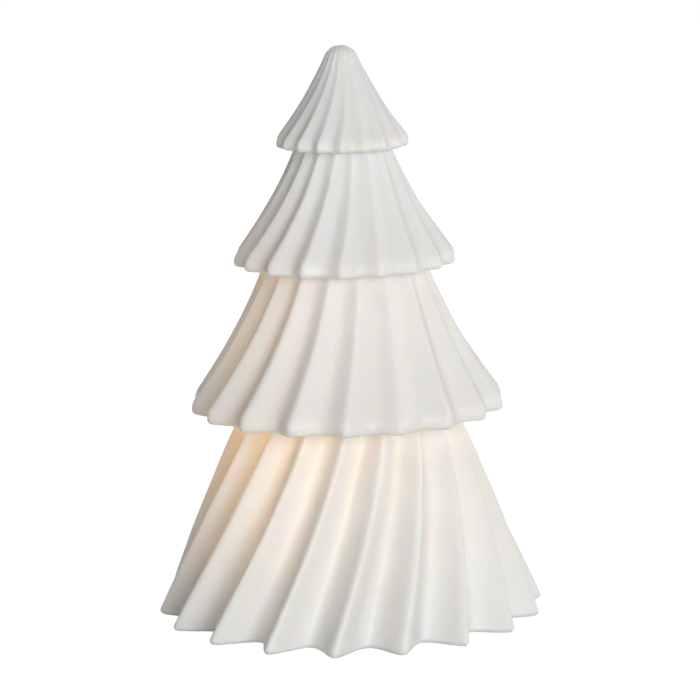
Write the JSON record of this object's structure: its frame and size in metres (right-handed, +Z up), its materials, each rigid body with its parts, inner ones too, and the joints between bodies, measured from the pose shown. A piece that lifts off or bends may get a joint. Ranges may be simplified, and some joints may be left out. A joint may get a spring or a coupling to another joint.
{
  "type": "wax led christmas tree",
  "caption": "Hollow wax Christmas tree with fluted, twisted tiers over a round battery unit with a warm light on a stem, a tilting battery door and a slide switch.",
  "frame": {"origin": "centre of the tree's foot, on the surface that it stands on", "axes": "+Z up along the tree, -Y towards the viewer of the picture, +X along the cells towards the door's latch"},
  "size_m": [0.1222, 0.122, 0.18],
  "materials": {
    "wax": "satin wax",
    "white_plastic": "fine texture",
    "cell_jacket": "gloss film",
    "plated_steel": "bright plated",
    "board_laminate": "solder mask",
    "black_plastic": "moulded",
    "resistor_coat": "lacquer",
    "lamp_epoxy": "clear warm tint",
    "red_insulation": "smooth",
    "black_insulation": "smooth"
  },
  "bodies": {
    "tree": {"wax_body": "wax", "base_housing": "white_plastic", "upper_cover": "white_plastic", "cell_front": "cell_jacket", "cell_middle": "cell_jacket", "cell_rear": "cell_jacket", "spring_front": "plated_steel", "spring_middle": "plated_steel", "spring_rear": "plated_steel", "contact_minus": "plated_steel", "contact_bridge_right": "plated_steel", "contact_bridge_left": "plated_steel", "contact_plus": "plated_steel", "circuit_board": "board_laminate", "timer_chip": "black_plastic", "timer_crystal": "plated_steel", "led_resistor": "resistor_coat", "switch_body": "black_plastic", "led_lens": "lamp_epoxy", "led_leg_plus": "plated_steel", "led_leg_minus": "plated_steel", "lead_cell_minus": "black_insulation", "lead_cell_plus": "red_insulation", "lead_led_plus": "red_insulation", "lead_led_minus": "black_insulation", "cover_screw_fl": "plated_steel", "cover_screw_fr": "plated_steel", "cover_screw_rr": "plated_steel", "cover_screw_rl": "plated_steel", "board_screw_left": "plated_steel", "board_screw_right": "plated_steel"},
    "battery_door": {"battery_door": "white_plastic"},
    "switch_knob": {"switch_knob": "black_plastic"}
  },
  "joints": [
    {"name": "door_tilt", "type": "hinge", "parent": "tree", "child": "battery_door", "pos_m": [-0.0258, 0, 0.0018], "axis": [0, 1, 0], "range_deg": [0, 60]},
    {"name": "switch_slide", "type": "slide", "parent": "tree", "child": "switch_knob", "axis": [1, 0, 0], "range_m": [0, 0.004]}
  ]
}
